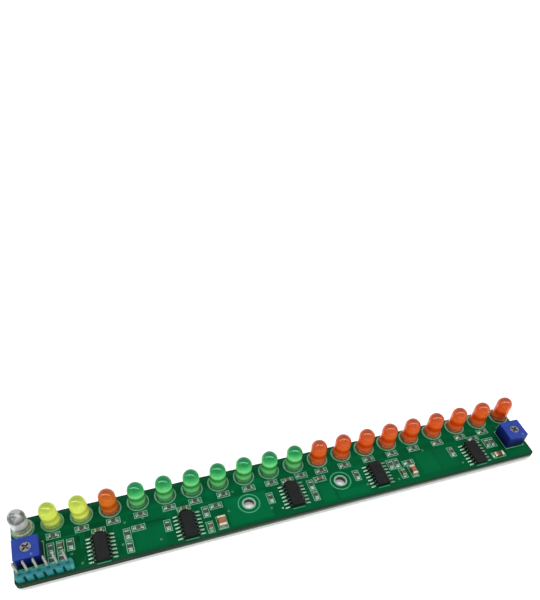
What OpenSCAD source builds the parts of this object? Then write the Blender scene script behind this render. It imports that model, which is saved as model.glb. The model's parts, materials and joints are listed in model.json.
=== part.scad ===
// Audio level meter: a long narrow circuit board with a single row of twenty
// round lamps along its back edge, five fourteen-pin chips, chip resistors and
// capacitors between them, a trimmer at each end and a pin header on the front
// left edge. X runs along the row, +Y points at the lamps and +Z is up.
// The origin is under the middle of the board, level with the lowest lead tips.

/* [Board] */
// Length of the board along the row of lamps
board_length = 164.6; // [164.6:0.2:168]
// Width of the board from the front edge to the back edge
board_width = 21.2; // [21.2:0.2:24]
// Thickness of the laminate
board_thickness = 1.6; // [1.2:0.2:2]
// Radius of the four board corners
corner_radius = 1.3; // [0.6:0.1:2]
// How far the clipped leads reach below the board
lead_below_board = 1.4; // [1.3:0.1:3]

/* [Mounting holes] */
// Inside diameter of the two plated mounting holes
mount_hole_diameter = 3.2; // [2.8:0.1:3.4]
// Distance between the two mounting holes
mount_hole_spacing = 30; // [28:0.5:31]
// Outside diameter of the tinned land around each mounting hole
mount_land_diameter = 4.2; // [3.8:0.1:5.4]

/* [Lamps] */
// Diameter of the lamp's lens
lamp_diameter = 5; // [4.6:0.1:5.2]
// Diameter of the rim at the foot of the lamp
lamp_rim_diameter = 5.8; // [5.4:0.1:6]
// Height of the lamp above the board
lamp_height = 8.6; // [7.8:0.1:9]
// Distance between the first sixteen lamps
lamp_pitch = 8.22; // [8.1:0.02:8.22]
// Distance between the last five lamps
end_lamp_pitch = 8.75; // [8.55:0.02:8.75]

/* [Chips] */
// Length of a chip's moulded body
chip_length = 8.65; // [8.5:0.05:8.75]
// Width of a chip's moulded body
chip_width = 3.9; // [3.8:0.05:4]
// Height of a chip's moulded body
chip_height = 1.5; // [1.3:0.05:1.6]

/* [Trimmers] */
// Width of a trimmer's front, along its row of pins
trimmer_width = 7; // [6.6:0.1:7]
// Depth of a trimmer from front to back
trimmer_depth = 6.8; // [6.6:0.1:7]
// Height of a trimmer above the board
trimmer_height = 4.9; // [4.6:0.1:5.2]
// Radial running clearance around each turning rotor
rotor_clearance = 0.06; // [0.03:0.01:0.1]

/* [Header] */
// Number of pins in the header
header_pins_count = 6; // [2:1:6]
// Height of the header's plastic strip
header_height = 2.5; // [2.3:0.1:3]
// Length of pin that stands clear above the plastic strip
header_pin_above = 6.4; // [5.8:0.1:7]

/* [Part shown] */
// Which piece to draw, or all of them

/* [Hidden] */

$fn = 64;

board_bottom = lead_below_board;
board_top = lead_below_board + board_thickness;

// places on the board are measured from its front left corner
first_lamp_x = 3.25;
lamp_row_y = 17.72;
lamp_count = 20;
even_lamps = 16;

// lamp leads: square wire, one on each side of the lamp's middle
wire = 0.5;
wire_offset = 1.27;
wire_hole_radius = 0.45;
wire_bore_radius = 0.36;

// pin header
pin_pitch = 2.54;
pin_side = 0.64;
pin_hole_radius = 0.55;
pin_bore_radius = 0.46;
header_depth = 2.5;
header_first_x = 1.85;
header_y = 2.03;

// trimmers: middle of each housing, and the right one's quarter turn
left_trimmer_x = 4.55;
left_trimmer_y = 8.4;
right_trimmer_x = 159.65;
right_trimmer_y = 8.02;
right_trimmer_turn = -90;
// the rotor stands a little behind the housing's middle
rotor_back = 0.3;
trimmer_pin_radius = 0.25;
trimmer_pin_spacing = 2.54;
rotor_radius = 1.5;
rotor_flange_radius = 2.35;
slot_width = 0.58;
slot_depth = 0.7;
foot_height = 0.3;
base_thickness = 0.9;

// mounting holes
first_mount_x = 67.73;
mount_y = 7.79;
mount_board_radius = mount_hole_diameter / 2 + 0.05;

// chips: middle of each body
chip_places = [[23.65, 5.27], [48.73, 5.48], [81.88, 6.84], [110.21, 6.57], [144.97, 5.58]];
chip_pins_a_side = 7;
chip_pin_pitch = 1.27;
chip_lift = 0.12;
// sloped edge along the side of pin 1, and the draft of the other faces
chip_bevel = 0.4;
chip_draft = 0.14;
chip_lead_width = 0.42;
chip_lead_thickness = 0.2;
chip_foot_reach = 3.05;
chip_pad_end = 4.05;

// chip parts: [middle x, middle y, turn about z]
resistor_long = 2.0;
resistor_wide = 1.25;
resistor_high = 0.5;
end_long = 0.38;
bulk_end_long = 0.62;
paste = 0.05;

// sideways step of each lamp's own resistor from the lamp's middle
lamp_resistor_steps = [0, -0.25, -0.5, 0.25, -0.05, 0.2, -0.1, 0.4, 0.25, -0.65, 1.0, -0.4, -0.65, -0.35, -0.2, -0.55, -0.4, -0.35, -0.55, -0.2];
lamp_resistor_y = 13.05;

other_resistors = [
  [10.15, 8.9, 90], [10.15, 5.0, 90], [12.8, 5.0, 90], [15.55, 8.8, 90],
  [31.25, 7.6, 90], [31.3, 3.35, 90], [34.65, 8.8, 0],
  [42.9, 7.1, 90], [54.55, 8.5, 90], [57.95, 9.75, 0],
  [74.6, 7.75, 90], [88.2, 8.75, 90], [88.25, 4.85, 90],
  [103.5, 8.2, 90], [115.75, 9.0, 90], [117.8, 9.0, 90], [121.7, 8.2, 0],
  [137.7, 8.2, 90], [147.6, 11.2, 0], [151.1, 8.15, 90], [153.15, 8.15, 90]
];

small_capacitors = [
  [12.8, 8.95, 90], [23.6, 10.95, 0], [48.6, 11.3, 0], [54.6, 3.1, 90],
  [81.7, 12.4, 0], [91.65, 10.2, 0], [118.3, 4.85, 90]
];
capacitor_high = 0.85;

// bulk capacitors: [x, y, turn, length, width, height]
bulk_capacitors = [
  [58.25, 3.7, 90, 3.2, 2.3, 1.4],
  [121.75, 4.75, 90, 3.2, 1.6, 1.25],
  [152.5, 2.85, 0, 3.2, 1.6, 0.9]
];

function lamp_x(i) = first_lamp_x + (i < even_lamps ? i * lamp_pitch : (even_lamps - 1) * lamp_pitch + (i - even_lamps + 1) * end_lamp_pitch);

// moves its children to a place measured from the board's front left corner
module at(x, y, z) {
  translate([x - board_length / 2, y - board_width / 2, z]) children();
}

module at_trimmer(left) {
  at(left ? left_trimmer_x : right_trimmer_x, left ? left_trimmer_y : right_trimmer_y, board_top)
    rotate([0, 0, left ? 0 : right_trimmer_turn]) children();
}

// plan outline of the board, with round corners
module board_outline() {
  l = board_length / 2 - corner_radius;
  w = board_width / 2 - corner_radius;
  union() {
    square([board_length, 2 * w], center = true);
    square([2 * l, board_width], center = true);
    for (x = [-l, l], y = [-w, w]) translate([x, y]) circle(r = corner_radius);
  }
}

// one hole in the board's outline
module hole(x, y, r) {
  translate([x - board_length / 2, y - board_width / 2]) circle(r = r, $fn = 32);
}

module circuit_board() {
  color([0.0, 0.36, 0.2])
    translate([0, 0, board_bottom])
      linear_extrude(height = board_thickness)
        difference() {
          board_outline();
          for (i = [0 : lamp_count - 1], s = [-1, 1])
            hole(lamp_x(i) + s * wire_offset, lamp_row_y, wire_hole_radius);
          for (i = [0 : header_pins_count - 1])
            hole(header_first_x + i * pin_pitch, header_y, pin_hole_radius);
          for (p = trimmer_pin_places()) {
            hole(left_trimmer_x + p[0], left_trimmer_y + p[1], wire_hole_radius);
            hole(right_trimmer_x + p[1], right_trimmer_y - p[0], wire_hole_radius);
          }
          for (i = [0, 1])
            hole(first_mount_x + i * mount_hole_spacing, mount_y, mount_board_radius);
        }
}

// thin tinned sleeve that lines a mounting hole, with a land on both faces
module mounting_hole_plating() {
  r = mount_hole_diameter / 2;
  land = mount_land_diameter / 2;
  color([0.75, 0.76, 0.74])
    for (i = [0, 1])
      at(first_mount_x + i * mount_hole_spacing, mount_y, 0)
        rotate_extrude()
          polygon([
            [r, board_bottom - 0.05], [land, board_bottom - 0.05], [land, board_bottom],
            [mount_board_radius, board_bottom], [mount_board_radius, board_top],
            [land, board_top], [land, board_top + 0.05], [r, board_top + 0.05]
          ]);
}

// the post frame: it reaches up into the lens from one lead
module anode_frame() {
  union() {
    translate([-wire / 2, -wire / 2, -board_top]) cube([wire, wire, board_top + 3.2]);
    translate([-0.62, -wire / 2, 3.2]) cube([0.62 + wire / 2, wire, 0.9]);
  }
}

// the cup frame: the other lead, with a wide head and a small round cup
module cathode_frame() {
  difference() {
    union() {
      translate([-wire / 2, -wire / 2, -board_top]) cube([wire, wire, board_top + 2.2]);
      translate([-wire / 2, -wire / 2, 2.2]) cube([1.55, wire, 1.5]);
      translate([0.75, 0, 3.3]) cylinder(r = 0.55, h = 0.9, $fn = 32);
    }
    translate([0.75, 0, 3.75]) cylinder(r1 = 0.25, r2 = 0.45, h = 0.46, $fn = 32);
  }
}

module lamp_lens(i) {
  r = lamp_diameter / 2;
  rim = lamp_rim_diameter / 2;
  at(lamp_x(i), lamp_row_y, board_top)
    difference() {
      union() {
        difference() {
          cylinder(r = rim, h = 1);
          translate([-rim - 1, -rim - 1, -1]) cube([1 + rim - r, 2 * rim + 2, 3]);
        }
        cylinder(r = r, h = lamp_height - r);
        translate([0, 0, lamp_height - r]) sphere(r = r);
      }
      translate([wire_offset, 0, 0]) anode_frame();
      translate([-wire_offset, 0, 0]) cathode_frame();
    }
}

module lamp_anode_leads() {
  color([0.78, 0.78, 0.76])
    for (i = [0 : lamp_count - 1])
      at(lamp_x(i) + wire_offset, lamp_row_y, board_top) anode_frame();
}

module lamp_cathode_leads() {
  color([0.78, 0.78, 0.76])
    for (i = [0 : lamp_count - 1])
      at(lamp_x(i) - wire_offset, lamp_row_y, board_top) cathode_frame();
}

// body of one chip, narrower above and below its parting band, with a sloped edge beside pin 1
module chip_body(i) {
  l = chip_length / 2;
  w = chip_width / 2;
  h = chip_height;
  in = chip_draft;
  mid = h / 2;
  // where the sloped edge starts on the drafted side
  low = -w + in * (h - chip_bevel - mid - 0.12) / (h - mid - 0.12);
  color([0.1, 0.1, 0.1])
    at(chip_places[i][0], chip_places[i][1], board_top + chip_lift)
      difference() {
        intersection() {
          translate([0, l, 0]) rotate([90, 0, 0]) linear_extrude(height = 2 * l)
            polygon([[-w + in, 0], [w - in, 0], [w, mid - 0.12], [w, mid + 0.12], [w - in, h], [low + chip_bevel, h], [low, h - chip_bevel], [-w, mid + 0.12], [-w, mid - 0.12]]);
          translate([-w, 0, 0]) rotate([90, 0, 90]) linear_extrude(height = 2 * w)
            polygon([[-l + in, 0], [l - in, 0], [l, mid - 0.12], [l, mid + 0.12], [l - in, h], [-l + in, h], [-l, mid + 0.12], [-l, mid - 0.12]]);
        }
        translate([-w + 1.05, -l + 0.85, h - 0.06]) cylinder(r = 0.4, h = 0.2, $fn = 32);
      }
}

// one bent lead that leaves the chip towards +X and ends in a flat foot
module chip_lead() {
  t = chip_lead_thickness;
  w = chip_width / 2;
  z = chip_lift + chip_height / 2;
  f = paste;
  rotate([90, 0, 0])
    translate([0, 0, -chip_lead_width / 2])
      linear_extrude(height = chip_lead_width)
        polygon([
          [w, z - t / 2], [w + 0.22, z - t / 2], [w + 0.32, z - t / 2 - 0.1], [w + 0.42, f + 0.1], [w + 0.52, f],
          [chip_foot_reach, f], [chip_foot_reach, f + t],
          [w + 0.66, f + t], [w + 0.6, f + t + 0.06], [w + 0.5, z + t / 2 - 0.1], [w + 0.4, z + t / 2], [w, z + t / 2]
        ]);
}

// tin under one foot, with a slope up its toe
module chip_joint() {
  t = chip_lead_thickness;
  w = chip_width / 2;
  rotate([90, 0, 0])
    translate([0, 0, -0.3])
      linear_extrude(height = 0.6)
        polygon([
          [w + 0.3, 0], [chip_pad_end, 0], [chip_pad_end, 0.04], [chip_pad_end - 0.35, 0.08],
          [chip_foot_reach + 0.25, 0.16], [chip_foot_reach, paste + t], [chip_foot_reach, paste], [w + 0.3, paste]
        ]);
}

// places one child at each of a chip's pins
module at_chip_pins(i) {
  for (k = [0 : chip_pins_a_side - 1], side = [0, 180])
    at(chip_places[i][0], chip_places[i][1] + (k - (chip_pins_a_side - 1) / 2) * chip_pin_pitch, board_top)
      rotate([0, 0, side]) children();
}

module chip_leads(i) {
  color([0.8, 0.8, 0.78]) at_chip_pins(i) chip_lead();
}

module chip_solder() {
  color([0.72, 0.73, 0.72])
    for (i = [0 : len(chip_places) - 1]) at_chip_pins(i) chip_joint();
}

function trimmer_pin_places() = [[-trimmer_pin_spacing, -1.27], [0, 1.27], [trimmer_pin_spacing, -1.27]];

// plan outline of a trimmer with small cut corners
module trimmer_outline(inset) {
  w = trimmer_width / 2 - inset;
  d = trimmer_depth / 2 - inset;
  c = max(0.3 - inset, 0.05);
  polygon([[-w + c, -d], [w - c, -d], [w, -d + c], [w, d - c], [w - c, d], [-w + c, d], [-w, d - c], [-w, -d + c]]);
}

module trimmer_housing(left) {
  h = trimmer_height;
  color([0.1, 0.18, 0.6])
    at_trimmer(left)
      difference() {
        union() {
          translate([0, 0, foot_height]) linear_extrude(height = h - foot_height) trimmer_outline(0);
          for (x = [-1, 1], y = [-1, 1])
            translate([x * (trimmer_width / 2 - 0.75) - 0.45, y * (trimmer_depth / 2 - 0.75) - 0.45, 0]) cube([0.9, 0.9, foot_height + 0.2]);
        }
        // pocket that the base closes from below
        translate([0, 0, foot_height]) linear_extrude(height = base_thickness) trimmer_outline(0.55);
        // room for the rotor's flange, and the round window it shows through
        translate([0, rotor_back, 1]) cylinder(r = rotor_flange_radius + rotor_clearance, h = h - 1.9);
        translate([0, rotor_back, 1]) cylinder(r = rotor_radius + rotor_clearance, h = h);
      }
}

module trimmer_base(left) {
  color([0.85, 0.83, 0.76])
    at_trimmer(left)
      difference() {
        translate([0, 0, foot_height]) linear_extrude(height = base_thickness) trimmer_outline(0.55);
        for (p = trimmer_pin_places())
          translate([p[0], p[1], 0]) cylinder(r = trimmer_pin_radius, h = foot_height + 0.5, $fn = 32);
      }
}

module trimmer_pins(left) {
  color([0.78, 0.78, 0.76])
    at_trimmer(left)
      for (p = trimmer_pin_places())
        translate([p[0], p[1], -board_top]) cylinder(r = trimmer_pin_radius, h = board_top + foot_height + 0.5, $fn = 32);
}

// the turning rotor: a flange held inside the housing and a cross-slotted head
module trimmer_rotor(left) {
  h = trimmer_height;
  low = foot_height + base_thickness + rotor_clearance;
  color([0.8, 0.78, 0.7])
    at_trimmer(left)
      translate([0, rotor_back, 0])
        difference() {
          union() {
            translate([0, 0, low]) cylinder(r = rotor_flange_radius, h = h - 0.9 - rotor_clearance - low);
            translate([0, 0, low]) cylinder(r = rotor_radius, h = h - 0.15 - low);
          }
          for (a = [45, 135])
            rotate([0, 0, a]) translate([-1.2, -slot_width / 2, h - 0.15 - slot_depth]) cube([2.4, slot_width, slot_depth + 1]);
        }
}

// strip of moulded segments, each with cut corners so that a notch shows between them
module header_strip() {
  c = 0.5;
  d = header_depth / 2;
  p = pin_pitch / 2;
  color([0.16, 0.54, 0.56])
    at(header_first_x, header_y, board_top)
      linear_extrude(height = header_height)
        difference() {
          union() {
            for (i = [0 : header_pins_count - 1])
              translate([i * pin_pitch, 0])
                polygon([[-p, -d + c], [-p + c, -d], [p - c, -d], [p, -d + c], [p, d - c], [p - c, d], [-p + c, d], [-p, d - c]]);
          }
          for (i = [0 : header_pins_count - 1])
            translate([i * pin_pitch, 0]) square([pin_side, pin_side], center = true);
        }
}

module header_pins() {
  top = board_top + header_height + header_pin_above;
  s = pin_side / 2;
  color([0.8, 0.79, 0.74])
    for (i = [0 : header_pins_count - 1])
      at(header_first_x + i * pin_pitch, header_y, 0)
        union() {
          translate([-s, -s, 0.4]) cube([pin_side, pin_side, top - 0.9]);
          translate([0, 0, top - 0.5]) rotate([0, 0, 45]) cylinder(r1 = s * sqrt(2), r2 = s * 0.55 * sqrt(2), h = 0.5, $fn = 4);
          rotate([0, 0, 45]) cylinder(r1 = s * 0.6 * sqrt(2), r2 = s * sqrt(2), h = 0.4, $fn = 4);
        }
}

// places children at [x, y, turn]
module at_place(p) {
  at(p[0], p[1], board_top) rotate([0, 0, p[2]]) children();
}

// middle of a chip part with ends e long
module block_body(l, w, h, e) {
  translate([-l / 2 + e, -w / 2, paste + 0.02]) cube([l - 2 * e, w, h - 0.02]);
}

// the two metal ends of a chip part
module block_ends(l, w, h, e) {
  for (s = [0, 180])
    rotate([0, 0, s]) translate([l / 2 - e, -w / 2 - 0.02, paste]) cube([e, w + 0.04, h + 0.03]);
}

// tin under both ends of a chip part, sloping up the end faces
module block_joints(l, w, h, reach) {
  up = paste + min(h * 0.7, 0.8);
  for (s = [0, 180])
    rotate([0, 0, s])
      rotate([90, 0, 0])
        translate([0, 0, -w / 2])
          linear_extrude(height = w)
            polygon([
              [l / 2 - end_long - 0.05, 0], [l / 2 + reach, 0], [l / 2 + reach, 0.04], [l / 2 + reach * 0.55, 0.12],
              [l / 2 + reach * 0.2, up * 0.6], [l / 2, up], [l / 2, paste], [l / 2 - end_long - 0.05, paste]
            ]);
}

module at_resistors() {
  for (i = [0 : lamp_count - 1])
    at(lamp_x(i) + lamp_resistor_steps[i], lamp_resistor_y, board_top) children();
  for (p = other_resistors) at_place(p) children();
}

module resistor_bodies() {
  color([0.12, 0.11, 0.11]) at_resistors() block_body(resistor_long, resistor_wide, resistor_high, end_long);
}

module resistor_ends() {
  color([0.8, 0.8, 0.78]) at_resistors() block_ends(resistor_long, resistor_wide, resistor_high, end_long);
}

module capacitor_bodies() {
  color([0.55, 0.38, 0.26]) for (p = small_capacitors) at_place(p) block_body(resistor_long, resistor_wide, capacitor_high, end_long);
}

module capacitor_ends() {
  color([0.8, 0.8, 0.78]) for (p = small_capacitors) at_place(p) block_ends(resistor_long, resistor_wide, capacitor_high, end_long);
}

module bulk_capacitor_bodies() {
  color([0.55, 0.3, 0.2]) for (p = bulk_capacitors) at_place(p) block_body(p[3], p[4], p[5], bulk_end_long);
}

module bulk_capacitor_ends() {
  color([0.82, 0.8, 0.76]) for (p = bulk_capacitors) at_place(p) block_ends(p[3], p[4], p[5], bulk_end_long);
}

module chip_part_solder() {
  color([0.72, 0.73, 0.72]) {
    at_resistors() block_joints(resistor_long, resistor_wide, resistor_high, 0.6);
    for (p = small_capacitors) at_place(p) block_joints(resistor_long, resistor_wide, capacitor_high, 0.6);
  }
}

module bulk_capacitor_solder() {
  color([0.72, 0.73, 0.72]) for (p = bulk_capacitors) at_place(p) block_joints(p[3], p[4], p[5], 0.5);
}

// tin around one through lead: it fills the hole and makes a cone below the board
module lead_joint(bore, hole_r, foot_r) {
  rotate_extrude($fn = 32)
    polygon([
      [bore, board_bottom - 1], [bore + 0.14, board_bottom - 1], [bore + 0.26, board_bottom - 0.5],
      [foot_r, board_bottom], [hole_r, board_bottom], [hole_r, board_top], [bore, board_top]
    ]);
}

module lead_solder() {
  color([0.72, 0.73, 0.72]) {
    for (i = [0 : lamp_count - 1], s = [-1, 1])
      at(lamp_x(i) + s * wire_offset, lamp_row_y, 0) lead_joint(wire_bore_radius, wire_hole_radius, 0.95);
    for (i = [0 : header_pins_count - 1])
      at(header_first_x + i * pin_pitch, header_y, 0) lead_joint(pin_bore_radius, pin_hole_radius, 1.0);
    for (left = [true, false], p = trimmer_pin_places())
      at_trimmer(left) translate([p[0], p[1], -board_top]) lead_joint(trimmer_pin_radius, wire_hole_radius, 0.9);
  }
}

circuit_board();
mounting_hole_plating();
color([0.9, 0.92, 0.93]) lamp_lens(0);  // lamp_lens_01
color([0.8, 0.87, 0.2]) lamp_lens(1);  // lamp_lens_02
color([0.8, 0.87, 0.2]) lamp_lens(2);  // lamp_lens_03
color([0.88, 0.36, 0.1]) lamp_lens(3);  // lamp_lens_04
color([0.2, 0.7, 0.36]) lamp_lens(4);  // lamp_lens_05
color([0.2, 0.7, 0.36]) lamp_lens(5);  // lamp_lens_06
color([0.2, 0.7, 0.36]) lamp_lens(6);  // lamp_lens_07
color([0.2, 0.7, 0.36]) lamp_lens(7);  // lamp_lens_08
color([0.2, 0.7, 0.36]) lamp_lens(8);  // lamp_lens_09
color([0.2, 0.7, 0.36]) lamp_lens(9);  // lamp_lens_10
color([0.2, 0.7, 0.36]) lamp_lens(10);  // lamp_lens_11
color([0.93, 0.33, 0.12]) lamp_lens(11);  // lamp_lens_12
color([0.93, 0.33, 0.12]) lamp_lens(12);  // lamp_lens_13
color([0.93, 0.33, 0.12]) lamp_lens(13);  // lamp_lens_14
color([0.93, 0.33, 0.12]) lamp_lens(14);  // lamp_lens_15
color([0.93, 0.33, 0.12]) lamp_lens(15);  // lamp_lens_16
color([0.93, 0.33, 0.12]) lamp_lens(16);  // lamp_lens_17
color([0.93, 0.33, 0.12]) lamp_lens(17);  // lamp_lens_18
color([0.93, 0.33, 0.12]) lamp_lens(18);  // lamp_lens_19
color([0.93, 0.33, 0.12]) lamp_lens(19);  // lamp_lens_20
lamp_anode_leads();
lamp_cathode_leads();
chip_body(0);  // chip_body_1
chip_body(1);  // chip_body_2
chip_body(2);  // chip_body_3
chip_body(3);  // chip_body_4
chip_body(4);  // chip_body_5
chip_leads(0);  // chip_leads_1
chip_leads(1);  // chip_leads_2
chip_leads(2);  // chip_leads_3
chip_leads(3);  // chip_leads_4
chip_leads(4);  // chip_leads_5
chip_solder();
trimmer_housing(true);  // left_trimmer_housing
trimmer_base(true);  // left_trimmer_base
trimmer_pins(true);  // left_trimmer_pins
trimmer_rotor(true);  // left_trimmer_rotor
trimmer_housing(false);  // right_trimmer_housing
trimmer_base(false);  // right_trimmer_base
trimmer_pins(false);  // right_trimmer_pins
trimmer_rotor(false);  // right_trimmer_rotor
header_strip();
header_pins();
resistor_bodies();
resistor_ends();
capacitor_bodies();
capacitor_ends();
bulk_capacitor_bodies();
bulk_capacitor_ends();
chip_part_solder();
bulk_capacitor_solder();
lead_solder();
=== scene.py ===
import json
import math

import bmesh
import bpy
from mathutils import Matrix, Vector

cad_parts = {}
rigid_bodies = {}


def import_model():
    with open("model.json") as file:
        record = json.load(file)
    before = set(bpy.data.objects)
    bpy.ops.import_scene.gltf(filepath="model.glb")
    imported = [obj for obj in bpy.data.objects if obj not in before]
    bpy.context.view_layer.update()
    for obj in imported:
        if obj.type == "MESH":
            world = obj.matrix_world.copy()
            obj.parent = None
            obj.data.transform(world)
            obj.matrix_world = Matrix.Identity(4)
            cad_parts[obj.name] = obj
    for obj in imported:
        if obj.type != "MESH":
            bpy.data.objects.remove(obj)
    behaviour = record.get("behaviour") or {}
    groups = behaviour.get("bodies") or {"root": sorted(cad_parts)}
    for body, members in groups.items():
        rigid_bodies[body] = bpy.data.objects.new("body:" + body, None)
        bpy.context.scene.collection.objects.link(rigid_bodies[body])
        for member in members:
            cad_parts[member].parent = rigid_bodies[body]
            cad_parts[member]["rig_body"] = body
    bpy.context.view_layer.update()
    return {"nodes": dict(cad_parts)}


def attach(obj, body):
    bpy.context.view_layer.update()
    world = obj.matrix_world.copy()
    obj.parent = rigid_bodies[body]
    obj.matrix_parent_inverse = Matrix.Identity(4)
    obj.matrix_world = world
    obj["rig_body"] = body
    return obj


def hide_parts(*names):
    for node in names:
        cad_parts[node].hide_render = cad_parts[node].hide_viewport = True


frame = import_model()

MM = 0.001
ROOT = "board_assembly"

# ---------------------------------------------------------------- the board's layout, in mm
LENGTH, WIDTH = 164.6, 21.2
BOTTOM, TOP = 1.4, 3.0
ROW_Y = 17.72
FIRST_X = 3.25
PITCH, END_PITCH = 8.22, 8.75
LENS_R, RIM_R, LENS_H = 2.5, 2.9, 8.6
CHIPS = [(23.65, 5.27), (48.73, 5.48), (81.88, 6.84), (110.21, 6.57), (144.97, 5.58)]
STEPS = [0, -0.25, -0.5, 0.25, -0.05, 0.2, -0.1, 0.4, 0.25, -0.65, 1.0, -0.4, -0.65, -0.35, -0.2, -0.55, -0.4, -0.35, -0.55, -0.2]
STEP_Y = 13.05
RESISTORS = [
    (10.15, 8.9, 90), (10.15, 5.0, 90), (12.8, 5.0, 90), (15.55, 8.8, 90),
    (31.25, 7.6, 90), (31.3, 3.35, 90), (34.65, 8.8, 0),
    (42.9, 7.1, 90), (54.55, 8.5, 90), (57.95, 9.75, 0),
    (74.6, 7.75, 90), (88.2, 8.75, 90), (88.25, 4.85, 90),
    (103.5, 8.2, 90), (115.75, 9.0, 90), (117.8, 9.0, 90), (121.7, 8.2, 0),
    (137.7, 8.2, 90), (147.6, 11.2, 0), (151.1, 8.15, 90), (153.15, 8.15, 90),
]
CAPACITORS = [
    (12.8, 8.95, 90), (23.6, 10.95, 0), (48.6, 11.3, 0), (54.6, 3.1, 90),
    (81.7, 12.4, 0), (91.65, 10.2, 0), (118.3, 4.85, 90),
]
BULK = [(58.25, 3.7, 90, 3.2, 2.3, 1.4), (121.75, 4.75, 90, 3.2, 1.6, 1.25), (152.5, 2.85, 0, 3.2, 1.6, 0.9)]
HOLES = [(67.73, 7.79), (97.73, 7.79)]
VIAS = [
    (15.5, 5.67), (17.95, 2.0), (31.15, 11.63), (29.48, 4.6), (40.11, 3.23), (61.18, 6.91),
    (64.13, 13.26), (73.83, 4.3), (116.01, 3.17), (105.46, 4.09), (139.23, 3.26),
    (36.4, 11.7), (69.2, 13.4), (94.3, 13.5), (128.6, 11.5), (158.3, 13.4),
]
LENS_KIND = ["clear"] + ["yellow"] * 2 + ["amber"] + ["green"] * 7 + ["red"] * 9


def lamp_x(i):
    return FIRST_X + (i * PITCH if i < 16 else 15 * PITCH + (i - 15) * END_PITCH)


# ---------------------------------------------------------------- small helpers
# The photograph is overexposed until its table is plain white: lights are multiplied by this and tones divided by it.
EXPOSE = 1.25


def lin(r, g, b, down=EXPOSE):
    def one(c):
        c /= 255
        return (c / 12.92 if c <= 0.04045 else ((c + 0.055) / 1.055) ** 2.4) / down
    return (one(r), one(g), one(b), 1.0)


class Shader:
    """A Principled material with short calls for its nodes. Coordinates are the object's own, in metres."""

    def __init__(self, name, **sockets):
        self.m = bpy.data.materials.new(name)
        self.m.use_nodes = True
        self.t = self.m.node_tree
        self.b = self.t.nodes["Principled BSDF"]
        for key, value in sockets.items():
            self.b.inputs[key.replace("_", " ")].default_value = value / EXPOSE if key == "Specular_IOR_Level" else value
        self.place = self.t.nodes.new("ShaderNodeTexCoord").outputs["Object"]

    def link(self, a, b):
        self.t.links.new(a, b)

    def put(self, value, socket):
        if isinstance(value, bpy.types.NodeSocket):
            self.link(value, socket)
        else:
            socket.default_value = value

    def noise(self, scale, detail=3.0, rough=0.55, stretch=None):
        n = self.t.nodes.new("ShaderNodeTexNoise")
        n.inputs["Scale"].default_value = scale
        n.inputs["Detail"].default_value = detail
        n.inputs["Roughness"].default_value = rough
        src = self.place
        if stretch:
            v = self.t.nodes.new("ShaderNodeVectorMath")
            v.operation = "MULTIPLY"
            v.inputs[1].default_value = stretch
            self.link(src, v.inputs[0])
            src = v.outputs[0]
        self.link(src, n.inputs["Vector"])
        return n.outputs["Fac"]

    def cells(self, scale, stretch=None):
        n = self.t.nodes.new("ShaderNodeTexVoronoi")
        n.inputs["Scale"].default_value = scale
        src = self.place
        if stretch:
            v = self.t.nodes.new("ShaderNodeVectorMath")
            v.operation = "MULTIPLY"
            v.inputs[1].default_value = stretch
            self.link(src, v.inputs[0])
            src = v.outputs[0]
        self.link(src, n.inputs["Vector"])
        return n.outputs["Distance"]

    def math(self, op, a, b=0.0, clamp=False):
        n = self.t.nodes.new("ShaderNodeMath")
        n.operation = op
        n.use_clamp = clamp
        self.put(a, n.inputs[0])
        self.put(b, n.inputs[1])
        return n.outputs[0]

    def span(self, value, a, b, c=0.0, d=1.0):
        n = self.t.nodes.new("ShaderNodeMapRange")
        n.inputs["From Min"].default_value = a
        n.inputs["From Max"].default_value = b
        n.inputs["To Min"].default_value = c
        n.inputs["To Max"].default_value = d
        self.link(value, n.inputs["Value"])
        return n.outputs["Result"]

    def ramp(self, value, stops):
        n = self.t.nodes.new("ShaderNodeValToRGB")
        r = n.color_ramp
        while len(r.elements) > 1:
            r.elements.remove(r.elements[-1])
        r.elements[0].position, r.elements[0].color = stops[0]
        for p, c in stops[1:]:
            r.elements.new(p).color = c
        self.link(value, n.inputs["Fac"])
        return n.outputs["Color"]

    def mix(self, fac, a, b):
        n = self.t.nodes.new("ShaderNodeMix")
        n.data_type = "RGBA"
        self.put(fac, n.inputs["Factor"])
        self.put(a, n.inputs[6])
        self.put(b, n.inputs[7])
        return n.outputs[2]

    def axis(self, which):
        n = self.t.nodes.new("ShaderNodeSeparateXYZ")
        self.link(self.place, n.inputs[0])
        return n.outputs[which]

    def up(self):
        """How far the surface faces up or down: 1 on flat tops, 0 on walls."""
        g = self.t.nodes.new("ShaderNodeNewGeometry")
        n = self.t.nodes.new("ShaderNodeSeparateXYZ")
        self.link(g.outputs["Normal"], n.inputs[0])
        return n.outputs[2]

    def bump(self, height, depth, strength=1.0):
        n = self.t.nodes.new("ShaderNodeBump")
        n.inputs["Distance"].default_value = depth
        n.inputs["Strength"].default_value = strength
        self.link(height, n.inputs["Height"])
        self.link(n.outputs[0], self.b.inputs["Normal"])

    def to(self, value, socket):
        self.link(value, self.b.inputs[socket])


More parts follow.
